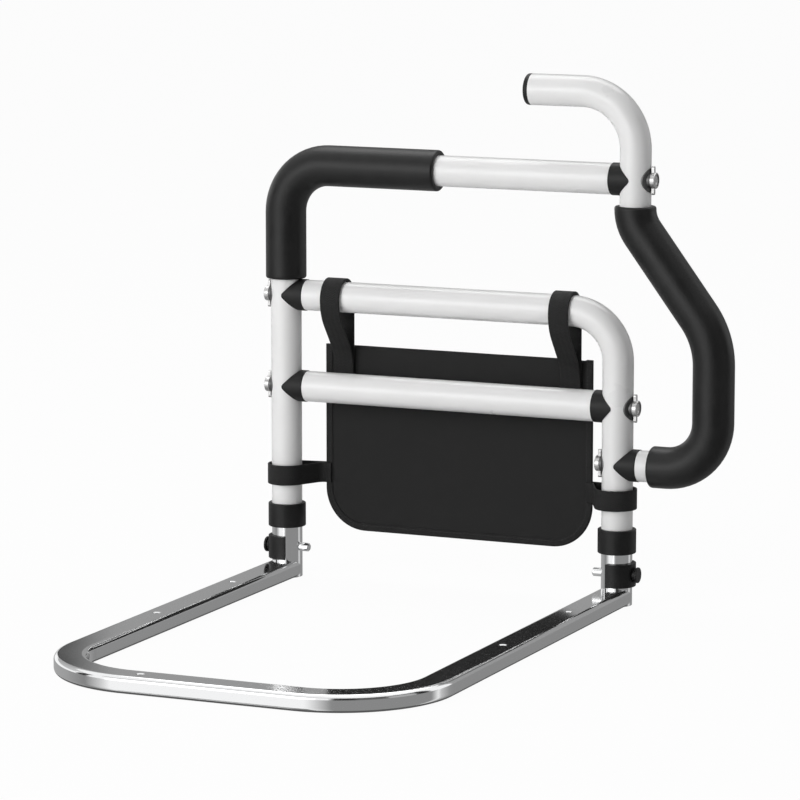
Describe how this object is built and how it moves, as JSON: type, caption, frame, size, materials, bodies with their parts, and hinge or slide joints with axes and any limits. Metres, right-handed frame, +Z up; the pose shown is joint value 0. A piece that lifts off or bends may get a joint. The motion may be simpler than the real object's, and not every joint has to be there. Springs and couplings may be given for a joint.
{
  "type": "bed rail",
  "caption": "Bed rail with a chromed U base that goes under the mattress, a lift-off white tube frame with a cranked grip, foam sleeves and a hanging cloth pouch.",
  "frame": {"origin": "On the floor plane of the base, midway between the two upright posts and in the plane of the upright frame.", "axes": "+X runs along the rails towards the cranked grip, -Y runs from the frame along the base under the mattress, +Z is up."},
  "size_m": [0.465, 0.5381, 0.4823],
  "materials": {
    "chromed_tube": "bright mirror chrome",
    "white_enamel": "smooth glossy white powder coat",
    "black_plastic": "satin moulded black plastic",
    "foam": "matte closed-cell black foam",
    "zinc_plated_steel": "bright zinc plate",
    "dark_steel": "dark phosphate finish",
    "pouch_cloth": "plain woven black polyester",
    "webbing": "ribbed black polyester webbing and tape"
  },
  "bodies": {
    "base": {"base_tube": "chromed_tube", "left_post": "chromed_tube", "right_post": "chromed_tube", "left_foot_plug": "black_plastic", "right_foot_plug": "black_plastic", "left_collar": "black_plastic", "right_collar": "black_plastic"},
    "upper_frame": {"left_stem": "zinc_plated_steel", "right_stem": "zinc_plated_steel", "top_rail_tube": "white_enamel", "mid_rail_tube": "white_enamel", "low_rail_tube": "white_enamel", "handle_tube": "white_enamel", "top_foam_sleeve": "foam", "grip_foam_sleeve": "foam", "handle_end_plug": "black_plastic", "saddle_mid_left": "black_plastic", "saddle_low_left": "black_plastic", "saddle_low_right": "black_plastic", "saddle_top_right": "black_plastic", "saddle_grip_foot": "black_plastic", "joint_bolts": "zinc_plated_steel", "saddle_washers": "dark_steel", "pouch_front_panel": "pouch_cloth", "pouch_back_panel": "pouch_cloth", "pouch_binding": "webbing", "left_hanging_strap": "webbing", "right_hanging_strap": "webbing", "left_side_strap": "webbing", "right_side_strap": "webbing"},
    "left_lock": {"left_lock_pin": "zinc_plated_steel", "left_lock_knob": "black_plastic", "left_lock_clip": "black_plastic"},
    "right_lock": {"right_lock_pin": "zinc_plated_steel", "right_lock_knob": "black_plastic", "right_lock_clip": "black_plastic"},
    "nut_mid_left": {"wing_nut_mid_left": "zinc_plated_steel"},
    "nut_low_left": {"wing_nut_low_left": "zinc_plated_steel"},
    "nut_low_right": {"wing_nut_low_right": "zinc_plated_steel"},
    "nut_top_right": {"wing_nut_top_right": "zinc_plated_steel"},
    "nut_grip_foot": {"wing_nut_grip_foot": "zinc_plated_steel"}
  },
  "joints": [
    {"name": "frame_lift", "type": "slide", "parent": "base", "child": "upper_frame", "axis": [0, 0, 1], "range_m": [0, 0.09]},
    {"name": "left_lock_pull", "type": "slide", "parent": "base", "child": "left_lock", "axis": [-1, 0, 0], "range_m": [0, 0.04]},
    {"name": "right_lock_pull", "type": "slide", "parent": "base", "child": "right_lock", "axis": [1, 0, 0], "range_m": [0, 0.04]},
    {"name": "nut_mid_left_turn", "type": "hinge", "parent": "upper_frame", "child": "nut_mid_left", "pos_m": [-0.1815, 0, 0.268], "axis": [1, 0, 0], "continuous": true},
    {"name": "nut_low_left_turn", "type": "hinge", "parent": "upper_frame", "child": "nut_low_left", "pos_m": [-0.1815, 0, 0.182], "axis": [1, 0, 0], "continuous": true},
    {"name": "nut_low_right_turn", "type": "hinge", "parent": "upper_frame", "child": "nut_low_right", "pos_m": [0.1815, 0, 0.182], "axis": [1, 0, 0], "continuous": true},
    {"name": "nut_top_right_turn", "type": "hinge", "parent": "upper_frame", "child": "nut_top_right", "pos_m": [0.1968, 0, 0.39], "axis": [1, 0, 0], "continuous": true},
    {"name": "nut_grip_foot_turn", "type": "hinge", "parent": "upper_frame", "child": "nut_grip_foot", "pos_m": [0.151, 0, 0.1296], "axis": [1, 0, 0], "continuous": true}
  ]
}
